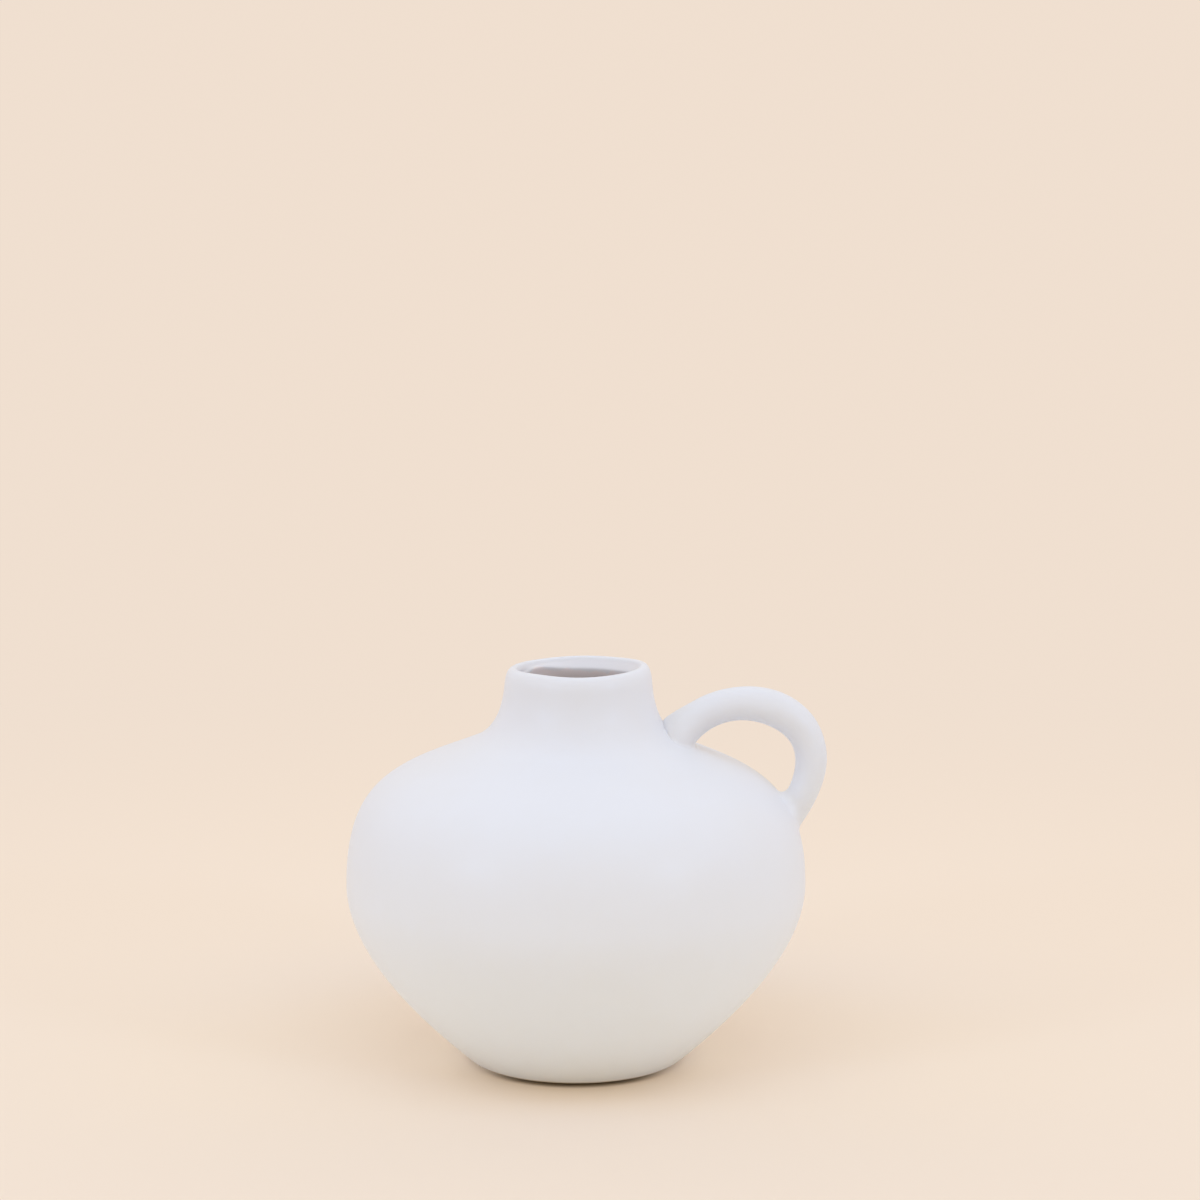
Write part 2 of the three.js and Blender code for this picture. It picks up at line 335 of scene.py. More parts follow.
def lip_profile(sizes, neck_end, inside):
    """The lip, from the outside over its rounded top and down a slope to the narrow throat."""
    top = neck_end.z + sizes.lip_drop
    outer_corner = neck_end + heading(UPRIGHT + sizes.neck_taper, sizes.lip_drop)
    crest = spot(neck_end.x - sizes.lip_width, top)
    slope_start = crest - spot(CREST_IN, CREST_FALL)
    throat = spot(neck_end.x - sizes.throat_wall, top - sizes.throat_depth)
    slope_end = slope_start.lerp(throat, SLOPE_SHARE)
    below_throat = [place for place in inside if place.z < throat.z - THROAT_RUN]
    wall_top = max(below_throat, key=lambda place: place.z)
    over = rounding(neck_end, outer_corner, crest, LIP_STEPS)
    inner = rounding(crest, crest - spot(CREST_PULL, 0), slope_start, LIP_STEPS)
    slope = [slope_start.lerp(slope_end, step / NECK_STEPS) for step in range(1, NECK_STEPS + 1)]
    turn_down = rounding(slope_end, throat, wall_top, LIP_STEPS)
    return over + inner[1:] + slope + turn_down[1:]


def vessel_profile(sizes):
    """The whole section of the vessel, from the axis below round to the axis inside."""
    outside = outside_profile(sizes)
    inside = moved_in(outside, sizes.wall_thickness)
    lip = lip_profile(sizes, outside[-1], inside)
    floor_level = sizes.foot_height + sizes.floor_thickness
    curve_top = floor_level + FLOOR_CURVE_HEIGHT
    inner_wall = [place for place in inside if curve_top < place.z < lip[-1].z][::-1]
    wall_end = inner_wall[-1]
    wall_foot = spot(wall_end.x - (wall_end.z - floor_level) * FLOOR_CURVE_LEAN, floor_level)
    curve_bottom = spot(sizes.heel_diameter / 2 - FLOOR_CURVE_REACH, floor_level)
    floor_curve = rounding(wall_end, wall_foot, curve_bottom, HEEL_STEPS)
    axis_below = spot(0, sizes.foot_height)
    axis_inside = spot(0, floor_level)
    return [axis_below] + outside + lip[1:] + inner_wall + floor_curve[1:] + [axis_inside]


class Outline:
    """The outside of the vase as a line, which gives the nearest place on its surface."""

    def __init__(self, profile):
        self.profile = profile
        self.levels = [place.z for place in profile]

    def radius_at(self, level):
        """The distance from the axis at one level."""
        index = min(max(bisect.bisect(self.levels, level), 1), len(self.levels) - 1)
        low, high = self.profile[index - 1], self.profile[index]
        part = (level - low.z) / (high.z - low.z)
        return low.x + (high.x - low.x) * part

    def level_at(self, radius, lowest):
        """The level of the shoulder at one distance from the axis."""
        for low, high in zip(self.profile, self.profile[1:]):
            if low.z >= lowest and high.x <= radius <= low.x:
                return low.z + (high.z - low.z) * (low.x - radius) / (low.x - high.x)
        raise ValueError("the shoulder does not reach that distance from the axis")

    def nearest(self, place):
        """The nearest place on the surface, the direction out of it and the gap to it."""
        radius = math.hypot(place.x, place.y)
        flat = spot(radius, place.z)
        best = None
        for index in range(len(self.profile) - 1):
            start, end = self.profile[index], self.profile[index + 1]
            edge = end - start
            part = min(1, max(0, (flat - start).dot(edge) / edge.length_squared))
            foot = start + edge * part
            distance = (flat - foot).length
            if best is None or distance < best[0]:
                best = (distance, foot, index, part)
        _, foot, index, part = best
        out = across(self.profile, index).lerp(across(self.profile, index + 1), part).normalized()
        swing = Vector((place.x / radius, place.y / radius, 0))
        on_surface = swing * foot.x + Vector((0, 0, foot.z))
        outward = swing * out.x + Vector((0, 0, out.z))
        return on_surface, outward, (flat - foot).dot(out)


# Marks of the hand

def smooth(low, high, value):
    """A soft step from 0 at low to 1 at high."""
    part = min(1, max(0, (value - low) / (high - low)))
    return part * part * (3 - 2 * part)


# Levels between which each mark sets in or fades out
DRIFT_FROM = 84 * MM
DRIFT_TO = 116 * MM
SHOULDER_FROM = 60 * MM
SHOULDER_FULL = 92 * MM
SHOULDER_FADE = 102 * MM
WAVE_FROM = 4 * MM
WAVE_FULL = 30 * MM
RIM_FROM = 116 * MM
RIM_FULL = 130 * MM

# How far out the shoulder sinks by its full drop
SHOULDER_REACH = 55 * MM

# The waves round the vase: strength, number of swells, start and twist for each metre of height
WALL_WAVES = ((1, 2, 0.6, 31), (0.6, 3, -1.1, 47))
RIM_WAVES = ((1, 2, 0.9, 0), (0.7, 3, 2.2, 0), (0.35, 5, 0.4, 0))


def wavy(waves, turn, level):
    """The sum of a few waves round the vase."""
    return sum(
        strength * math.sin(swells * turn + start + twist * level)
        for strength, swells, start, twist in waves
    )


def thrown(place, marks):
    """Where a place on a perfect turning ends up on the hand-made vase."""
    level = place.z
    turn = math.atan2(place.y, place.x)
    weight = smooth(SHOULDER_FROM, SHOULDER_FULL, level) * (1 - smooth(SHOULDER_FADE, DRIFT_TO, level))
    bulge = marks.wall_wave * wavy(WALL_WAVES, turn, level) * smooth(WAVE_FROM, WAVE_FULL, level)
    ripple = marks.rim_wave * wavy(RIM_WAVES, turn, level)
    tilt = marks.rim_tilt * math.cos(turn) - marks.rim_nod * math.sin(turn) - marks.rim_sag
    lift = (ripple + tilt) * smooth(RIM_FROM, RIM_FULL, level)
    return place + Vector((
        marks.neck_drift * smooth(DRIFT_FROM, DRIFT_TO, level) + bulge * math.cos(turn),
        bulge * math.sin(turn),
        lift - marks.shoulder_drop * weight * place.x / SHOULDER_REACH,
    ))


# Depths below the lip between which the slope is wiped, and where the finger turned
THROAT_FROM = 1.2 * MM
THROAT_FULL = 3.5 * MM
THROAT_FADE = 5 * MM
THROAT_END = 10 * MM
THROAT_TURN = math.radians(132)
THROAT_SPREAD = math.radians(24)


def wiped(place, depth, marks):
    """How far a place inside the lip is moved, where a finger wiped the slope short and thin."""
    zone = smooth(THROAT_FROM, THROAT_FULL, depth) * (1 - smooth(THROAT_FADE, THROAT_END, depth))
    turn = math.atan2(place.y, place.x)
    swing = (turn - THROAT_TURN) / THROAT_SPREAD
    lift = marks.throat_lift * math.exp(-swing * swing)
    widening = marks.throat_widening * smooth(0, 1, -math.cos(turn))
    return Vector((-widening, 0, lift)) * zone


# Meshes

def spun(profile):
    """A mesh turned from a profile about the axis of the vase."""
    mesh = bmesh.new()
    points = [mesh.verts.new(place) for place in profile]
    lines = [mesh.edges.new(pair) for pair in zip(points, points[1:])]
    bmesh.ops.spin(
        mesh, geom=points + lines, cent=(0, 0, 0), axis=(0, 0, 1), angle=2 * math.pi,
        steps=TURN_STEPS, use_merge=True
    )
    bmesh.ops.remove_doubles(mesh, verts=mesh.verts, dist=MERGE_DISTANCE)
    bmesh.ops.recalc_face_normals(mesh, faces=mesh.faces)
    return mesh


def weathered(mesh, marks):
    """Moves every point of a mesh to its hand-made place."""
    for point in mesh.verts:
        point.co = thrown(point.co, marks)


def finished_piece(name, mesh, material, nodes):
    """Turns a mesh into a smooth piece that rides on the part in place of CAD nodes."""
    for face in mesh.faces:
        face.smooth = True
    data = bpy.data.meshes.new(name)
    mesh.to_mesh(data)
    mesh.free()
    data.materials.append(material)
    piece = bpy.data.objects.new(name, data)
    bpy.context.scene.collection.objects.link(piece)
    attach(piece, "root")
    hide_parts(*nodes)


# The handle

COIL_SIDES = 56
COIL_STEPS = 72
SLIP_STEPS = 9
HALVINGS = 24
GRID_HALF = 0.5

# Places along the loop, as parts of its length
UPPER_ROOT = 0
LOWER_ROOT = 1
LOOP_MIDDLE = 0.5
ROOT_SEARCH = 0.25
FLARE_END = 0.155

# The slip runs under the glaze of the vase, and the coil's tucked root rounds under itself
UNDERLAP = 0.8 * MM
UNDERLAP_DEPTH = 0.05 * MM
SUNK_DEPTH = 2.2 * MM
TUCK_RISE = 1.8 * MM
TUCK_IN = 0.6 * MM
TUCK_DEPTH = 0.25 * MM
TUCK_LIFT = 0.3 * MM

# Round a root: 1 faces out of the loop, 0 to the sides and -1 into the loop
TUCK_SPREAD = (-0.1, 0.7)
NOTCH_SPREAD = 0.7
CROTCH_SPREAD = 0.2
SIDE_SPREAD = 0


class MiddleLine:
    """The line through the middle of the coil, straight below both roots."""

    def __init__(self, sizes, handle, outline):
        upper_radius = sizes.neck_diameter / 2 + handle.upper_standoff
        lower_radius = sizes.belly_diameter / 2 - handle.lower_inset
        upper = spot(upper_radius, outline.level_at(upper_radius, sizes.widest_level))
        lower = spot(lower_radius, outline.level_at(lower_radius, sizes.widest_level))
        upper_pull = upper + heading(handle.lean, handle.upper_pull)
        lower_pull = lower + heading(handle.lean, handle.lower_pull)
        self.knots = (upper, upper_pull, lower_pull, lower)
        self.thickness = (
            handle.upper_root, handle.upper_limb, handle.crown, handle.lower_limb, handle.lower_root
        )
        self.neck_flare = handle.neck_flare
        self.side_flare = handle.side_flare

    def place(self, part):
        """A place along the line, from 0 at the upper root to 1 at the lower root."""
        start, start_pull, end_pull, end = self.knots
        if part < 0:
            return start + (start_pull - start) * 3 * part
        if part > 1:
            return end + (end - end_pull) * 3 * (part - 1)
        rest = 1 - part
        return (
            start * rest ** 3
            + start_pull * 3 * rest ** 2 * part
            + end_pull * 3 * rest * part ** 2
            + end * part ** 3
        )

    def along(self, part):
        """The direction of the line and how fast a place moves along it."""
        start, start_pull, end_pull, end = self.knots
        part = min(1, max(0, part))
        rest = 1 - part
        return (
            (start_pull - start) * 3 * rest ** 2
            + (end_pull - start_pull) * 6 * rest * part
            + (end - end_pull) * 3 * part ** 2
        )

    def radius(self, part):
        """Half the thickness of the coil."""
        last = len(self.thickness) - 1
        where = min(last, max(0, part * last))
        index = min(last - 1, int(where))
        blend = smooth(0, 1, where - index)
        return (self.thickness[index] * (1 - blend) + self.thickness[index + 1] * blend) / 2

    def side(self, part, turn):
        """A place on the side of the coil. A turn of 0 is outside the loop, half a turn inside it."""
        direction = self.along(part).normalized()
        out = spot(-direction.z, direction.x)
        reach = out * math.cos(turn) + Vector((0, 1, 0)) * math.sin(turn)
        pressed = 1 - min(1, max(0, part / FLARE_END))
        towards_neck = max(0, math.cos(turn)) ** 2
        to_sides = math.sin(turn) ** 2
        flare = (self.neck_flare * towards_neck + self.side_flare * to_sides) * pressed ** 2
        return self.place(part) + reach * (self.radius(part) + flare)


def root_part(line, outline, turn, root):
    """How far along the line one side of the coil comes out of the vase."""
    sunk = root - ROOT_SEARCH if root == UPPER_ROOT else root + ROOT_SEARCH
    free = LOOP_MIDDLE
    for _ in range(HALVINGS):
        middle = (sunk + free) / 2
        gap = outline.nearest(line.side(middle, turn))[2]
        if gap < 0:
            sunk = middle
        else:
            free = middle
    return free


def between(first, second, part):
    """A number part of the way from the first to the second."""
    return first + (second - first) * part


def slip_curve(line, outline, turn, root, reach, tuck):
    """The slip from under the glaze of the vase up to the coil, on one side of one root.

    Where the root is tucked in, the coil rounds under itself and leaves a crease.
    """
    at_root = root_part(line, outline, turn, root)
    inward = 1 if root == UPPER_ROOT else -1
    corner, outward, _ = outline.nearest(line.side(at_root, turn))
    speed = line.along(at_root).length
    joint_part = at_root + inward * between(reach, TUCK_RISE, tuck) / speed
    on_coil = line.side(joint_part, turn)
    away = corner - line.place(at_root)
    away = (away - outward * away.dot(outward)).normalized()

    def under(spread, depth):
        place, out, _ = outline.nearest(corner + away * spread)
        return place - out * depth

    on_vase = under(between(reach, -TUCK_IN, tuck), TUCK_DEPTH * tuck)
    edge_spread = between(reach + UNDERLAP, -TUCK_IN, tuck)
    edge = under(edge_spread, between(UNDERLAP_DEPTH, SUNK_DEPTH / 2, tuck))
    deep = under(between(reach, -TUCK_IN, tuck), SUNK_DEPTH)
    curve = rounding(on_vase, corner + outward * TUCK_LIFT * tuck, on_coil, SLIP_STEPS)
    return [deep, edge] + curve, joint_part


def slip_reach(handle, turn, root):
    """How far the slip spreads on one side of a root."""
    facing = math.cos(turn)
    outside = facing > 0
    if root == UPPER_ROOT:
        sides = handle.upper_sides
        end = handle.upper_notch if outside else handle.upper_crotch
        spread = NOTCH_SPREAD if outside else CROTCH_SPREAD
    else:
        sides = handle.lower_sides
        end = handle.lower_notch if outside else handle.lower_crotch
        spread = SIDE_SPREAD
    return between(sides, end, smooth(spread, 1, abs(facing)))


def coil_column(line, outline, handle, turn):
    """The places along one side of the handle, from its upper root to its lower root."""
    tuck = smooth(*TUCK_SPREAD, math.cos(turn))
    upper_reach = slip_reach(handle, turn, UPPER_ROOT)
    lower_reach = slip_reach(handle, turn, LOWER_ROOT)
    upper, first = slip_curve(line, outline, turn, UPPER_ROOT, upper_reach, tuck)
    lower, last = slip_curve(line, outline, turn, LOWER_ROOT, lower_reach, 0)
    parts = [between(first, last, step / COIL_STEPS) for step in range(1, COIL_STEPS)]
    coil = [line.side(part, turn) for part in parts]
    return upper + coil + lower[::-1]


def handle_mesh(sizes, handle):
    """The coil of the handle with the slip round both roots."""
    outline = Outline(outside_profile(sizes))
    line = MiddleLine(sizes, handle, outline)
    turns = [2 * math.pi * side / COIL_SIDES for side in range(COIL_SIDES)]
    columns = [coil_column(line, outline, handle, turn) for turn in turns]
    columns.append(columns[0])
    rows = len(columns[0]) - 1
    mesh = bmesh.new()
    bmesh.ops.create_grid(mesh, x_segments=rows, y_segments=COIL_SIDES, size=GRID_HALF)
    for point in mesh.verts:
        row = round((point.co.x + GRID_HALF) * rows)
        side = round((point.co.y + GRID_HALF) * COIL_SIDES)
        point.co = columns[side][row]
    bmesh.ops.remove_doubles(mesh, verts=mesh.verts, dist=MERGE_DISTANCE)
    open_edges = [edge for edge in mesh.edges if edge.is_boundary]
    bmesh.ops.holes_fill(mesh, edges=open_edges, sides=0)
    bmesh.ops.recalc_face_normals(mesh, faces=mesh.faces)
    return mesh


# The foot

FOOT_EDGE = 0.4 * MM
FOOT_RING = 5.5 * MM
FOOT_DISH = 0.5 * MM
FOOT_SEAT = 0.6 * MM
DISH_FLAT = 0.4
DISH_STEPS = 6


def foot_profile(sizes):
    """The bare foot: a flat ring to stand on, round a shallow dish."""
    radius = sizes.foot_diameter / 2
    dish_radius = radius - FOOT_RING
    parts = [step / DISH_STEPS for step in range(DISH_STEPS + 1)]
    dish = [spot(dish_radius * part, FOOT_DISH * (1 - smooth(DISH_FLAT, 1, part))) for part in parts]
    edge = arc(spot(radius - FOOT_EDGE, FOOT_EDGE), FOOT_EDGE, -UPRIGHT, 0, HEEL_STEPS)
    top = sizes.foot_height + FOOT_SEAT
    return dish + edge + [spot(radius, top), spot(0, top)]


# Materials

NOISE_ROUGHNESS = 0.55
HALF = 0.5


class Value:
    """A socket that gives a number over the surface. Arithmetic on it adds Math nodes."""

    def __init__(self, nodes, socket):
        self.nodes = nodes
        self.socket = socket

    def reckon(self, operation, first, second):
        """Adds one Math node."""
        made = self.nodes.node("ShaderNodeMath", {"operation": operation}, {"Value": [first, second]})
        return made["Value"]

    def __add__(self, other):
        return self.reckon("ADD", self, other)

    def __radd__(self, other):
        return self.reckon("ADD", other, self)

    def __sub__(self, other):
        return self.reckon("SUBTRACT", self, other)

    def __rsub__(self, other):
        return self.reckon("SUBTRACT", other, self)

    def __mul__(self, other):
        return self.reckon("MULTIPLY", self, other)

    def __rmul__(self, other):
        return self.reckon("MULTIPLY", other, self)

    def __gt__(self, other):
        return self.reckon("GREATER_THAN", self, other)

    def __lt__(self, other):
        return self.reckon("LESS_THAN", self, other)


class Nodes:
    """Builds the node tree of a material or of the world."""

    def __init__(self, owner):
        owner.use_nodes = True
        self.tree = owner.node_tree
        self.tree.nodes.clear()

    def node(self, kind, settings, sockets):
        """Adds a node: its settings first, then the values or links of its sockets."""
        made = self.tree.nodes.new(kind)
        for name, setting in settings.items():
            setattr(made, name, setting)
        for name, given in sockets.items():
            takers = [socket for socket in made.inputs if socket.enabled and socket.name == name]
            for taker, value in zip(takers, given if isinstance(given, list) else [given]):
                if isinstance(value, Value):
                    self.tree.links.new(value.socket, taker)
                else:
                    taker.default_value = value
        return {out.name: Value(self, out) for out in made.outputs if out.enabled}

    def noise(self, place, scale, detail):
        """A cloudy value between 0 and 1."""
        made = self.node(
            "ShaderNodeTexNoise", {},
            {"Vector": place, "Scale": scale, "Detail": detail, "Roughness": NOISE_ROUGHNESS},
        )
        return made["Fac"]

    def step(self, value, low, high):
        """A soft step from 0 at low to 1 at high."""
        made = self.node(
            "ShaderNodeMapRange", {"interpolation_type": "SMOOTHSTEP"},
            {"Value": value, "From Min": low, "From Max": high, "To Min": 0, "To Max": 1},
        )
        return made["Result"]

    def blend(self, factor, first, second):
        """A colour between two colours."""
        pair = [one if isinstance(one, Value) else (*one, 1) for one in (first, second)]
        made = self.node(
            "ShaderNodeMix", {"data_type": "RGBA"}, {"Factor": factor, "A": pair[0], "B": pair[1]}
        )
        return made["Result"]

    def relief(self, height, strength, depth):
        """The direction of a surface with a fine relief."""
        made = self.node("ShaderNodeBump", {}, {"Strength": strength, "Distance": depth, "Height": height})
        return made["Normal"]

    def clad(self, sockets):
        """Ends a material with one shader for the whole surface."""
        shader = self.node("ShaderNodeBsdfPrincipled", {}, sockets)["BSDF"]
        self.node("ShaderNodeOutputMaterial", {}, {"Surface": shader})


# The glaze: scale and detail of its clouds, patches, grain and dust
GLAZE_CLOUDS = (34, 3)
GLAZE_PATCHES = (130, 3)
GLAZE_GRAIN = (900, 2)
GLAZE_DUST = (3200, 1)

# Where the glaze is thin, and how much of the thin colour it takes there
CLOUD_SHARE = 0.65
PATCH_SHARE = 0.35
THIN_RANGE = (0.38, 0.66)
THIN_SHARE = 0.25

# Specks: cells to a metre, size and soft edge as parts of a cell, rarity and strength
SPECK_CELLS = 95
SPECK_LEAST = 0.006
SPECK_SPREAD = 0.022
SPECK_EDGE = 0.012
SPECK_RARITY = 0.965
SPECK_SHARE = 0.6

# Depths inside the lip where the colour changes, and levels at the heel where the glaze ends
INNER_LIP = (0.3 * MM, 1.5 * MM)
DEEP_INSIDE_EDGE = (3.8 * MM, 4.8 * MM)
DEEP_INSIDE_RAGGED = 6 * MM
HEEL_EDGE = (1.9 * MM, 1.3 * MM)
HEEL_RAGGED = 0.6 * MM

# How rough each place is, and how high it stands in the relief
GLAZE_UNEVEN = 0.06
HEEL_ROUGHER = 0.3
DEEP_INSIDE_ROUGHER = 0.2
GRAIN_HEIGHT = 0.6
DUST_HEIGHT = 0.4
PATCH_HEIGHT = 1.5
SPECK_PIT = 1.5
GLAZE_RELIEF = (0.35, 0.03 * MM)
GLAZE_REFRACTION = 1.48


def glaze_material(look):
    """Matte white glaze: faint clouds, fine grain and a few specks.

    It takes another colour on the slope inside the lip and a warmer one further in, and bare clay shows
    under the heel.
    """
    material = bpy.data.materials.new(GLAZE)
    nodes = Nodes(material)
    place = nodes.node("ShaderNodeTexCoord", {}, {})["Object"]
    level = nodes.node("ShaderNodeSeparateXYZ", {}, {"Vector": place})["Z"]
    depth = nodes.node("ShaderNodeAttribute", {"attribute_name": INNER_DEPTH}, {})["Fac"]
    clouds = nodes.noise(place, *GLAZE_CLOUDS)
    patches = nodes.noise(place, *GLAZE_PATCHES)
    grain = nodes.noise(place, *GLAZE_GRAIN)
    dust = nodes.noise(place, *GLAZE_DUST)

    thin = nodes.step(clouds * CLOUD_SHARE + patches * PATCH_SHARE, *THIN_RANGE)
    tone = nodes.blend(thin * THIN_SHARE, look.glaze, look.thin_glaze)
    cells = nodes.node(
        "ShaderNodeTexVoronoi", {"feature": "F1"},
        {"Vector": place, "Scale": SPECK_CELLS, "Randomness": 1},
    )
    chance = nodes.node("ShaderNodeSeparateColor", {}, {"Color": cells["Color"]})
    speck_size = chance["Green"] * SPECK_SPREAD + SPECK_LEAST
    speck_spots = nodes.step(speck_size - cells["Distance"], 0, SPECK_EDGE)
    specks = speck_spots * (chance["Red"] > SPECK_RARITY)
    speckled = nodes.blend(specks * SPECK_SHARE, tone, look.speck)

    lip = nodes.blend(nodes.step(depth, *INNER_LIP), speckled, look.inner_lip)
    # Further inside the mouth the colour turns warmer, with a ragged edge, and the surface rougher
    deep_inside = nodes.step(depth + (patches - HALF) * DEEP_INSIDE_RAGGED, *DEEP_INSIDE_EDGE)
    inside = nodes.blend(deep_inside, lip, look.deep_inside_tone)
    bare_heel = nodes.step(level + (patches - HALF) * HEEL_RAGGED, *HEEL_EDGE)
    surface = nodes.blend(bare_heel, inside, look.clay)

    uneven = (patches - HALF) * GLAZE_UNEVEN + (grain - HALF) * GLAZE_UNEVEN
    rougher = uneven + bare_heel * HEEL_ROUGHER + deep_inside * DEEP_INSIDE_ROUGHER
    height = grain * GRAIN_HEIGHT + dust * DUST_HEIGHT + patches * PATCH_HEIGHT - specks * SPECK_PIT
    nodes.clad({
        "Base Color": surface,
        "Roughness": rougher + look.glaze_roughness,
        "Normal": nodes.relief(height, *GLAZE_RELIEF),
        "IOR": GLAZE_REFRACTION,
        "Coat Weight": look.sheen,
        "Coat Roughness": look.sheen_roughness,
    })
    return material


def glaze(look):
    """The glaze, made once for all pieces that have it."""
    return bpy.data.materials.get(GLAZE) or glaze_material(look)


# The bare clay: scale and detail of its clouds and sand, and the rings of the wheel
CLAY_CLOUDS = (90, 3)
CLAY_SAND = (1400, 3)
CLAY_RINGS = {"Scale": 140, "Distortion": 1.2, "Detail": 2, "Detail Scale": 1.5}
CLAY_CLOUD_SHARE = 0.7
CLAY_SAND_SHARE = 0.3
DARK_CLAY = 0.82
CLAY_UNEVEN = 0.1
RING_HEIGHT = 0.7
SAND_HEIGHT = 0.5
CLAY_RELIEF = (0.5, 0.08 * MM)


def clay_material(look):
    """Bare fired clay: sandy grain and the rings that the wheel leaves."""
    material = bpy.data.materials.new("sandy_clay")
    nodes = Nodes(material)
    place = nodes.node("ShaderNodeTexCoord", {}, {})["Object"]
    clouds = nodes.noise(place, *CLAY_CLOUDS)
    sand = nodes.noise(place, *CLAY_SAND)
    rings = nodes.node(
        "ShaderNodeTexWave", {"wave_type": "RINGS", "rings_direction": "Z"}, {"Vector": place, **CLAY_RINGS}
    )["Fac"]
    dark = [part * DARK_CLAY for part in look.clay]
    tone = nodes.blend(clouds * CLAY_CLOUD_SHARE + sand * CLAY_SAND_SHARE, look.clay, dark)
    nodes.clad({
        "Base Color": tone,
        "Roughness": (sand - HALF) * CLAY_UNEVEN + look.clay_roughness,
        "Normal": nodes.relief(rings * RING_HEIGHT + sand * SAND_HEIGHT, *CLAY_RELIEF),
    })
    return material


# The floor, in metres from the axis of the vase: painted shadow line, shade and light, backdrop, bounce
FLOOR_RADIUS = 4
LINE_FADE = (0.034, 0.038)
SHADE_FADE = (0.04, 0.06)
GLOW_FADE = (0.06, 0.11)
BACKDROP_FADE = (0.25, 0.7)
BOUNCE_FADE = (0.1, 0.5)

# The floor: directions from the axis, -1 at the front to 1 at the back, for the painted line, shade and
# light
LINE_SPREAD = (-0.9, -0.5)
LIT_SPREAD = (-1, -0.1)

FLOOR_SEGMENTS = 96


def in_view(nodes):
    """1 for the rays of the camera, and for those that a shiny or clear surface passes on to it."""
    path = nodes.node("ShaderNodeLightPath", {}, {})
    return path["Is Camera Ray"] + path["Is Glossy Ray"] + path["Is Transmission Ray"]


def floor_material(stage):
    """A pale matte floor that turns into the plain backdrop further away.

    Painted shadow and painted shade lie in front of the foot, a thin dark line and a soft shade,
    as light from behind would leave them, and painted light lies beside and behind it, where the floor
    is lighter and partly glows. All of it is in the colour that the camera sees, on top of the real shadow.
    """
    material = bpy.data.materials.new("floor")
    nodes = Nodes(material)
    place = nodes.node("ShaderNodeTexCoord", {}, {})["Object"]
    away = nodes.node("ShaderNodeVectorMath", {"operation": "LENGTH"}, {"Vector": place})["Value"]
    around = nodes.node("ShaderNodeVectorMath", {"operation": "NORMALIZE"}, {"Vector": place})["Vector"]
    back = nodes.node("ShaderNodeSeparateXYZ", {}, {"Vector": around})["Y"]
    seen = in_view(nodes)

    # Painted shade in front of the foot and painted light beside and behind it, in the floor's colour
    lit = nodes.step(back, *LIT_SPREAD)
    near = nodes.blend(lit, stage.shade, stage.lit)
    open_floor = nodes.blend(lit, stage.painted_front_shade, stage.floor)
    shaded = nodes.blend(nodes.step(away, *SHADE_FADE), near, open_floor)
    # Painted shadow: a thin dark line is painted on the floor just in front of the foot
    line = (1 - nodes.step(away, *LINE_FADE)) * (1 - nodes.step(back, *LINE_SPREAD))
    shown = nodes.blend(line, shaded, stage.painted_contact_shadow)
    bounce = nodes.blend(nodes.step(away, *BOUNCE_FADE), stage.bounce, stage.far_bounce)
    tone = nodes.blend(seen, bounce, shown)

    matte = nodes.node("ShaderNodeBsdfDiffuse", {}, {"Color": tone, "Roughness": 0})["BSDF"]
    plain = nodes.node("ShaderNodeEmission", {}, {"Color": (*stage.backdrop, 1), "Strength": 1})["Emission"]
    # Painted light: beside and behind the foot the floor partly glows like the backdrop
    glow = (1 - nodes.step(away, *GLOW_FADE)) * lit * stage.glow
    far = nodes.step(away, *BACKDROP_FADE)
    mixed = nodes.node(
        "ShaderNodeMixShader", {}, {"Fac": (far + glow) * seen, "Shader": [matte, plain]}
    )["Shader"]
    nodes.node("ShaderNodeOutputMaterial", {}, {"Surface": mixed})
    return material


# The stage

SENSOR = 36

# Soft light: directions from -1 at the back to 1 at the front, heights from 0 level to 1 straight up
FRONT_SPREAD = (0, 0.64)
BACK_SPREAD = (-0.1, -0.75)
LOW_TO_MIDDLE = (0.3, 0.62)
MIDDLE_TO_HIGH = (0.62, 0.88)

# The two lamps: their direction from the front, distance, size and the height that they look at
KEY_TURN = math.radians(50)
KEY_RISE = math.radians(20)
KEY_DISTANCE = 1.3
KEY_SIZE = 0.26
KEY_AIM = 0.06


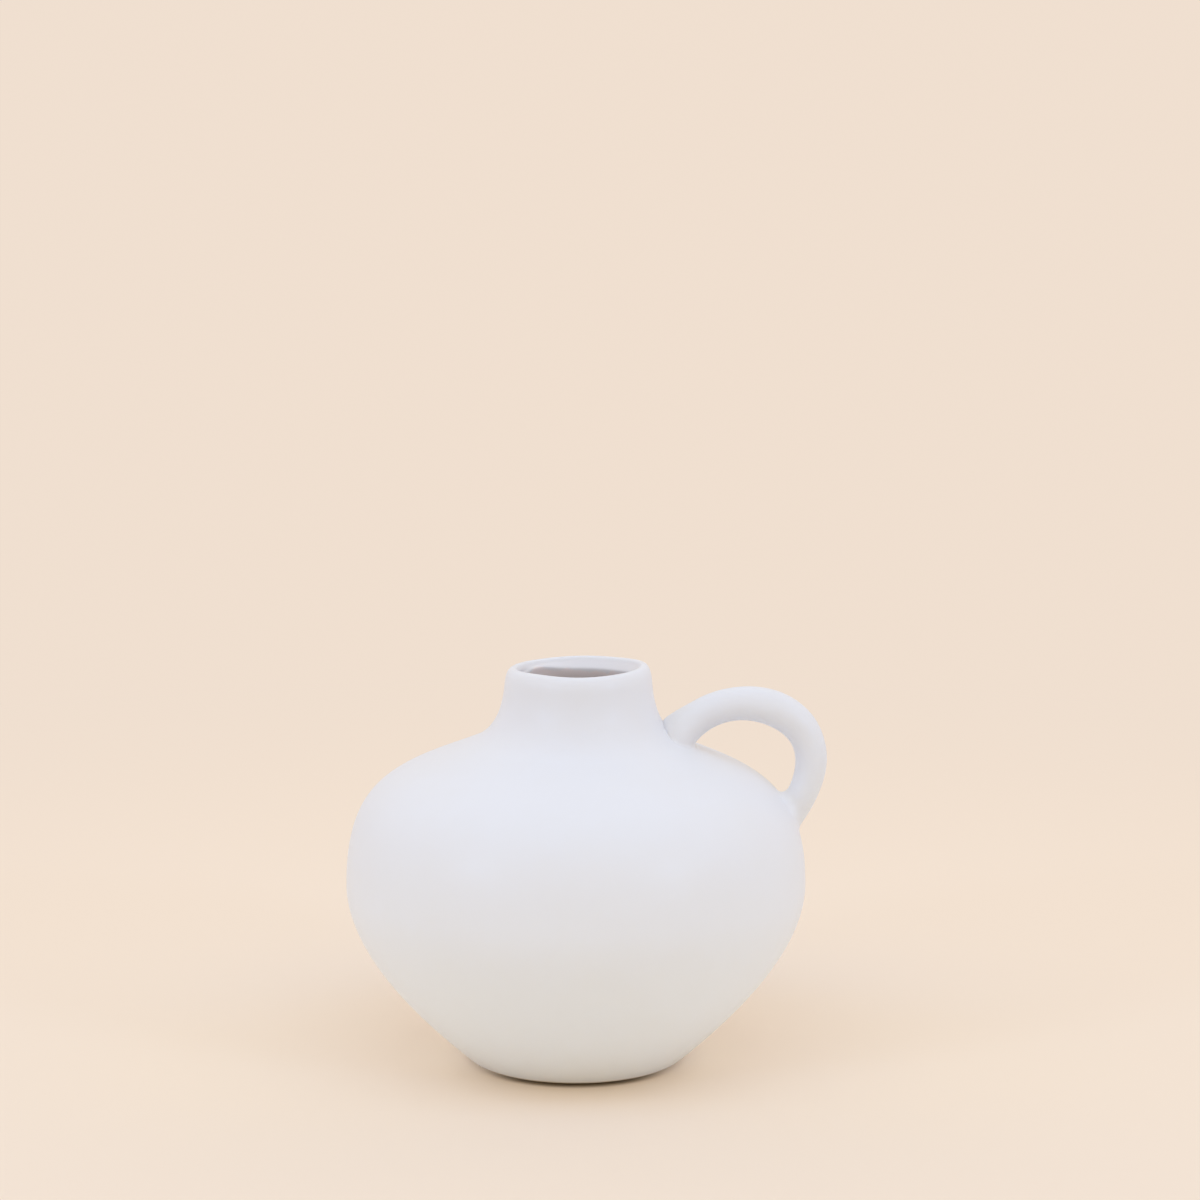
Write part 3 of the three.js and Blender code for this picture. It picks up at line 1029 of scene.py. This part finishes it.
def light_world(stage):
    """Soft light all round, with the plain backdrop where the camera looks."""
    world = bpy.data.worlds.new("studio")
    bpy.context.scene.world = world
    nodes = Nodes(world)
    toward = nodes.node("ShaderNodeTexCoord", {}, {})["Generated"]
    height = nodes.node("ShaderNodeSeparateXYZ", {}, {"Vector": toward})["Z"]
    level = nodes.node(
        "ShaderNodeVectorMath", {"operation": "MULTIPLY"}, {"Vector": [toward, (1, -1, 0)]}
    )["Vector"]
    around = nodes.node("ShaderNodeVectorMath", {"operation": "NORMALIZE"}, {"Vector": level})["Vector"]
    ahead = nodes.node("ShaderNodeSeparateXYZ", {}, {"Vector": around})["Y"]
    front = nodes.step(ahead, *FRONT_SPREAD)
    behind = nodes.step(ahead, *BACK_SPREAD)

    low = nodes.blend(front, stage.side_low, stage.front_low)
    low = nodes.blend(behind, low, stage.back_low)
    middle = nodes.blend(front, stage.side_middle, stage.front_middle)
    middle = nodes.blend(behind, middle, stage.back_middle)
    high = nodes.blend(front, stage.high, stage.front_high)
    lower = nodes.blend(nodes.step(height, *LOW_TO_MIDDLE), low, middle)
    sky = nodes.blend(nodes.step(height, *MIDDLE_TO_HIGH), lower, high)

    soft = nodes.node("ShaderNodeBackground", {}, {"Color": sky, "Strength": 1})["Background"]
    plain = nodes.node(
        "ShaderNodeBackground", {}, {"Color": (*stage.backdrop, 1), "Strength": 1}
    )["Background"]
    mixed = nodes.node(
        "ShaderNodeMixShader", {}, {"Fac": in_view(nodes), "Shader": [soft, plain]}
    )["Shader"]
    nodes.node("ShaderNodeOutputWorld", {}, {"Surface": mixed})


def key_lamp(name, side, stage):
    """A small square lamp at the front that looks at the vase. A level of 1 lights white to white."""
    lamp = bpy.data.lights.new(name, "AREA")
    lamp.shape = "SQUARE"
    lamp.size = KEY_SIZE
    level = max(stage.key)
    lamp.energy = level * (math.pi * KEY_DISTANCE) ** 2
    lamp.color = [part / level for part in stage.key]
    away = Vector((
        side * math.sin(KEY_TURN) * math.cos(KEY_RISE),
        -math.cos(KEY_TURN) * math.cos(KEY_RISE),
        math.sin(KEY_RISE),
    ))
    holder = bpy.data.objects.new(name, lamp)
    holder.location = Vector((0, 0, KEY_AIM)) + away * KEY_DISTANCE
    holder.rotation_euler = (-away).to_track_quat("-Z", "Y").to_euler()
    bpy.context.scene.collection.objects.link(holder)


# Operators

class VASE_OT_vessel(bpy.types.Operator):
    """Makes the body and the neck of the vase, as the glaze joins them"""

    bl_idname = "vase.vessel"
    bl_label = "Vessel"

    def execute(self, context):
        scene = context.scene
        sizes = scene.vase_sizes
        mesh = spun(vessel_profile(sizes))
        depth = mesh.verts.layers.float.new(INNER_DEPTH)
        middle = Outline(moved_in(outside_profile(sizes), sizes.wall_thickness / 2))
        lip_level = max(point.co.z for point in mesh.verts)
        floor_level = sizes.foot_height + sizes.floor_thickness / 2
        for point in mesh.verts:
            radius = math.hypot(point.co.x, point.co.y)
            if point.co.z > floor_level and radius < middle.radius_at(point.co.z):
                point[depth] = lip_level - point.co.z
                point.co += wiped(point.co, point[depth], scene.vase_marks)
        weathered(mesh, scene.vase_marks)
        finished_piece(
            "vessel", mesh, glaze(scene.vase_glaze), ["body", "neck_collar"]
        )
        return {"FINISHED"}


class VASE_OT_handle(bpy.types.Operator):
    """Makes the loop handle with the slip at its roots"""

    bl_idname = "vase.handle"
    bl_label = "Handle"

    def execute(self, context):
        scene = context.scene
        mesh = handle_mesh(scene.vase_sizes, scene.vase_handle)
        weathered(mesh, scene.vase_marks)
        finished_piece(
            "loop_handle", mesh, glaze(scene.vase_glaze),
            ["handle", "upper_handle_joint", "lower_handle_joint"],
        )
        return {"FINISHED"}


class VASE_OT_foot(bpy.types.Operator):
    """Makes the bare clay foot"""

    bl_idname = "vase.foot"
    bl_label = "Foot"

    def execute(self, context):
        scene = context.scene
        mesh = spun(foot_profile(scene.vase_sizes))
        finished_piece("foot", mesh, clay_material(scene.vase_glaze), ["base_slab"])
        return {"FINISHED"}


class VASE_OT_stage(bpy.types.Operator):
    """Makes the camera, the floor and the light"""

    bl_idname = "vase.stage"
    bl_label = "Stage"

    def execute(self, context):
        scene = context.scene
        stage = scene.vase_stage
        lens = bpy.data.cameras.new("camera")
        lens.lens = stage.lens
        lens.sensor_fit = "HORIZONTAL"
        lens.sensor_width = SENSOR
        camera = bpy.data.objects.new("camera", lens)
        camera.location = stage.camera_place
        camera.rotation_euler = (UPRIGHT - stage.camera_pitch, 0, 0)
        scene.collection.objects.link(camera)
        scene.camera = camera
        scene.view_settings.view_transform = "Standard"

        mesh = bmesh.new()
        bmesh.ops.create_circle(mesh, cap_ends=True, radius=FLOOR_RADIUS, segments=FLOOR_SEGMENTS)
        data = bpy.data.meshes.new("floor")
        mesh.to_mesh(data)
        mesh.free()
        data.materials.append(floor_material(stage))
        floor = bpy.data.objects.new("floor", data)
        scene.collection.objects.link(floor)

        light_world(stage)
        key_lamp("left_key", -1, stage)
        key_lamp("right_key", 1, stage)
        return {"FINISHED"}


class VASE_PT_panel(bpy.types.Panel):
    """Lists the settings and the steps of the vase"""

    bl_idname = "VASE_PT_panel"
    bl_label = "Handled Vase"
    bl_space_type = "VIEW_3D"
    bl_region_type = "UI"
    bl_category = "Vase"

    def draw(self, context):
        for group, made in SETTINGS.items():
            box = self.layout.box()
            box.label(text=made.__doc__)
            settings = getattr(context.scene, group)
            for name in made.__annotations__:
                box.prop(settings, name)
        for step in STEPS:
            self.layout.operator(step.bl_idname)


SETTINGS = {
    "vase_sizes": VaseSizes,
    "vase_handle": HandleSizes,
    "vase_marks": ThrownMarks,
    "vase_glaze": GlazeLook,
    "vase_stage": StageLook,
}
STEPS = (VASE_OT_vessel, VASE_OT_handle, VASE_OT_foot, VASE_OT_stage)


def register():
    """Adds the settings, the steps and the panel to Blender."""
    for made in SETTINGS.values():
        bpy.utils.register_class(made)
    for group, made in SETTINGS.items():
        setattr(bpy.types.Scene, group, PointerProperty(type=made))
    for step in STEPS:
        bpy.utils.register_class(step)
    bpy.utils.register_class(VASE_PT_panel)


def unregister():
    """Takes them out again, in the opposite order."""
    bpy.utils.unregister_class(VASE_PT_panel)
    for step in reversed(STEPS):
        bpy.utils.unregister_class(step)
    for group in SETTINGS:
        delattr(bpy.types.Scene, group)
    for made in reversed(SETTINGS.values()):
        bpy.utils.unregister_class(made)


def main():
    """Makes the pieces and the stage."""
    register()
    bpy.ops.vase.vessel()
    bpy.ops.vase.handle()
    bpy.ops.vase.foot()
    bpy.ops.vase.stage()


if __name__ == "__main__":
    main()
